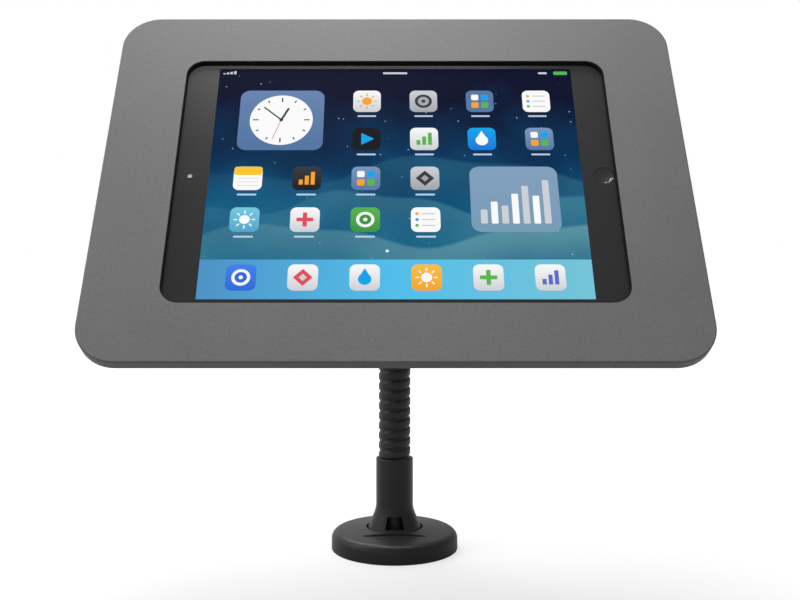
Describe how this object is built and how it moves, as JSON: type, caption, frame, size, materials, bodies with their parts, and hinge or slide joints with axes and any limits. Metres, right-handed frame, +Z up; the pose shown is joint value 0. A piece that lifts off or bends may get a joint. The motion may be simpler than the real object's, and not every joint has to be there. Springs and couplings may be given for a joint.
{
  "type": "tablet security enclosure",
  "caption": "Lockable landscape enclosure that holds a small tablet behind a rounded window, on a bendable gooseneck with a swivelling round base that screws to a desk.",
  "frame": {"origin": "centre of the base's underside, at desk level, in the middle of its four screw holes", "axes": "+Z up from the desk, -Y towards the viewer that the screen faces, +X to the viewer's right"},
  "size_m": [0.2486, 0.1803, 0.2634],
  "materials": {
    "painted_grey": "fine textured powder coat, mid grey",
    "powder_black": "satin black powder coat",
    "black_plastic": "moulded black plastic",
    "black_rubber": "matt black rubber",
    "winding_steel": "black coated wound steel strip",
    "plain_steel": "turned and plated steel",
    "foam": "closed cell foam",
    "tablet_case": "anodised dark grey",
    "tablet_front": "black glass, glossy",
    "tablet_screen": "lit display picture",
    "circuit": "green circuit board",
    "battery_foil": "black wrapped battery"
  },
  "bodies": {
    "base": {"base_plate": "plain_steel", "base_cover": "powder_black", "base_pad": "black_rubber", "swivel_bush": "black_plastic", "cover_screws": "plain_steel"},
    "socket": {"neck_socket": "powder_black", "socket_screws": "plain_steel", "retaining_ring": "plain_steel", "wave_washer": "plain_steel", "lower_ferrule": "plain_steel", "neck_winding": "winding_steel"},
    "neck_1": {"neck_link_1": "plain_steel"},
    "neck_2": {"neck_link_2": "plain_steel"},
    "neck_3": {"neck_link_3": "plain_steel"},
    "neck_4": {"neck_link_4": "plain_steel"},
    "neck_5": {"neck_link_5": "plain_steel"},
    "neck_6": {"neck_link_6": "plain_steel"},
    "neck_7": {"neck_link_7": "plain_steel"},
    "collar": {"head_hub": "powder_black", "hub_screws": "plain_steel", "upper_ferrule": "plain_steel"},
    "head": {"rear_tray": "painted_grey", "swivel_plate": "powder_black", "swivel_screws": "plain_steel", "stop_pin": "plain_steel", "friction_disc": "black_plastic", "spring_washer": "plain_steel", "pivot_nut": "plain_steel", "pivot_bolt": "plain_steel", "hinge_pin_left": "plain_steel", "hinge_pin_right": "plain_steel", "lock_body": "plain_steel", "lock_nut": "plain_steel", "tray_pad": "foam", "corner_bumper_1": "foam", "corner_bumper_2": "foam", "corner_bumper_3": "foam", "corner_bumper_4": "foam", "cable_grommet": "black_rubber", "tablet_shell": "tablet_case", "tablet_glass": "tablet_front", "tablet_display": "tablet_screen", "tablet_battery": "battery_foil", "tablet_board": "circuit", "tablet_camera": "tablet_front", "home_switch": "black_plastic"},
    "cover": {"front_cover": "painted_grey", "window_liner": "black_plastic", "hinge_arm_left": "plain_steel", "hinge_arm_right": "plain_steel", "hinge_screws": "plain_steel", "cover_catch": "plain_steel", "catch_screws": "plain_steel"},
    "lock": {"lock_plug": "plain_steel", "lock_cam": "plain_steel", "cam_screw": "plain_steel"},
    "button": {"home_button": "tablet_front"}
  },
  "joints": [
    {"name": "base_swivel", "type": "hinge", "parent": "base", "child": "socket", "pos_m": [0, 0, 0.01], "axis": [0, 0, 1], "range_deg": [-170, 170]},
    {"name": "neck_lean", "type": "hinge", "parent": "socket", "child": "neck_1", "pos_m": [0, 0, 0.0569], "axis": [0, 1, 0], "range_deg": [-20, 20]},
    {"name": "neck_lean_2", "type": "hinge", "parent": "neck_1", "child": "neck_2", "pos_m": [0, 0, 0.0752], "axis": [0, 1, 0], "range_deg": [-20, 20]},
    {"name": "neck_bend", "type": "hinge", "parent": "neck_2", "child": "neck_3", "pos_m": [0, 0, 0.09349], "axis": [1, 0, 0], "range_deg": [-14.5, 8], "deforming": ["neck_winding"]},
    {"name": "neck_bend_2", "type": "hinge", "parent": "neck_3", "child": "neck_4", "pos_m": [0, -0.00244, 0.11155], "axis": [1, 0, 0], "range_deg": [-14.5, 8]},
    {"name": "neck_bend_3", "type": "hinge", "parent": "neck_4", "child": "neck_5", "pos_m": [0, -0.01061, 0.12782], "axis": [1, 0, 0], "range_deg": [-14.5, 8]},
    {"name": "neck_bend_4", "type": "hinge", "parent": "neck_5", "child": "neck_6", "pos_m": [0, -0.02365, 0.14054], "axis": [1, 0, 0], "range_deg": [-14.5, 8]},
    {"name": "neck_pan", "type": "hinge", "parent": "neck_6", "child": "neck_7", "pos_m": [0, -0.03913, 0.15029], "axis": [0, 0.5299, 0.848], "range_deg": [-20, 20]},
    {"name": "neck_pan_2", "type": "hinge", "parent": "neck_7", "child": "collar", "pos_m": [0, -0.05465, 0.15998], "axis": [0, 0.5299, 0.848], "range_deg": [-20, 20]},
    {"name": "head_turn", "type": "hinge", "parent": "collar", "child": "head", "pos_m": [0, -0.08615, 0.17967], "axis": [0, -0.848, 0.5299], "range_deg": [-90, 90]},
    {"name": "cover_hinge", "type": "hinge", "parent": "head", "child": "cover", "pos_m": [0, -0.04882, 0.25469], "axis": [-1, 0, 0], "range_deg": [0, 100]},
    {"name": "lock_turn", "type": "hinge", "parent": "head", "child": "lock", "pos_m": [0, -0.12842, 0.11882], "axis": [0, 0.848, -0.5299], "range_deg": [0, 90]},
    {"name": "home_button_press", "type": "slide", "parent": "head", "child": "button", "axis": [0, 0.848, -0.5299], "range_m": [0, 0.0003], "stiffness_N_per_m": 3000}
  ]
}
